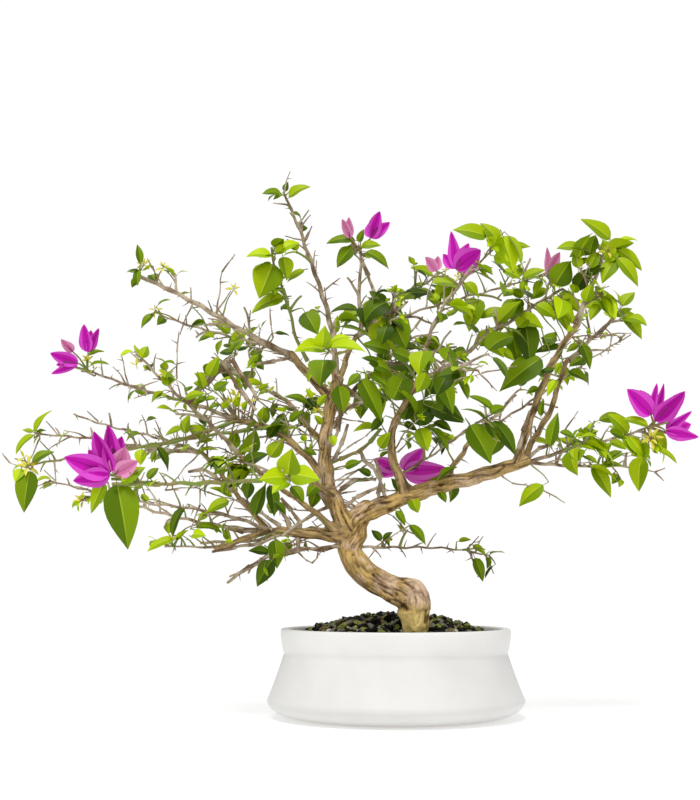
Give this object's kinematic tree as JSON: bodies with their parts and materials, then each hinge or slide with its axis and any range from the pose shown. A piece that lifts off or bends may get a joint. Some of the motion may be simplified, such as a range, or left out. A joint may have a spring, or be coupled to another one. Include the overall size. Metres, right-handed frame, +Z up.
{
  "type": "bougainvillea bonsai",
  "caption": "Potted bougainvillea bonsai with a twisted, low-forking trunk, open thorny boughs, small pointed leaves and magenta bracts, standing in a round white ceramic bowl.",
  "frame": {"origin": "middle of the pot's flat underside", "axes": "+Z up, +X to the right and +Y away from the viewer of the front; the crown is widest along X"},
  "size_m": [0.6996, 0.4181, 0.5489],
  "materials": {
    "pot": "satin white glaze",
    "soil": "loose dark gravel and bark, matt",
    "bark": "rough fissured bark",
    "foliage": "satin leaves, matt magenta bracts"
  },
  "bodies": {
    "root": {"pot": "pot", "soil": "soil", "trunk": "bark", "bough_leader": "bark", "bough_right_arm": "bark", "bough_left_arm": "bark", "bough_left_stub": "bark", "bough_left_long": "bark", "bough_left_cross": "bark", "bough_left_mid": "bark", "bough_upper_left": "bark", "bough_crown_right": "bark", "bough_front_rise": "bark", "bough_right_tall": "bark", "bough_right_twin": "bark", "bough_arm_spur": "bark", "bough_back_high": "bark", "bough_back_left": "bark", "bough_back_right": "bark", "bough_front_low": "bark", "bough_front_high": "bark", "foliage_upper_left": "foliage", "foliage_upper_back": "foliage", "foliage_green_shoot": "foliage", "foliage_left_bloom": "foliage", "foliage_front_left": "foliage", "foliage_left_cross": "foliage", "foliage_left_long": "foliage", "foliage_left_far": "foliage", "foliage_left_low": "foliage", "foliage_left_lower": "foliage", "foliage_stub_twig": "foliage", "foliage_front_bloom": "foliage", "foliage_front_low": "foliage", "foliage_low_left": "foliage", "foliage_low_right": "foliage", "foliage_top": "foliage", "foliage_top_bloom": "foliage", "foliage_high_right": "foliage", "foliage_high_bloom": "foliage", "foliage_front_right": "foliage", "foliage_right_rise": "foliage", "foliage_front_mid": "foliage", "foliage_right_spread": "foliage", "foliage_right_tall": "foliage", "foliage_right_twin": "foliage", "foliage_right_bloom": "foliage", "foliage_right_low": "foliage", "foliage_arm_bloom": "foliage", "foliage_inner_right": "foliage", "foliage_back_high": "foliage", "foliage_back_left": "foliage", "foliage_back_right": "foliage", "foliage_heart": "foliage", "foliage_crown_front": "foliage", "foliage_front_inner": "foliage", "foliage_front_high": "foliage"}
  },
  "joints": []
}
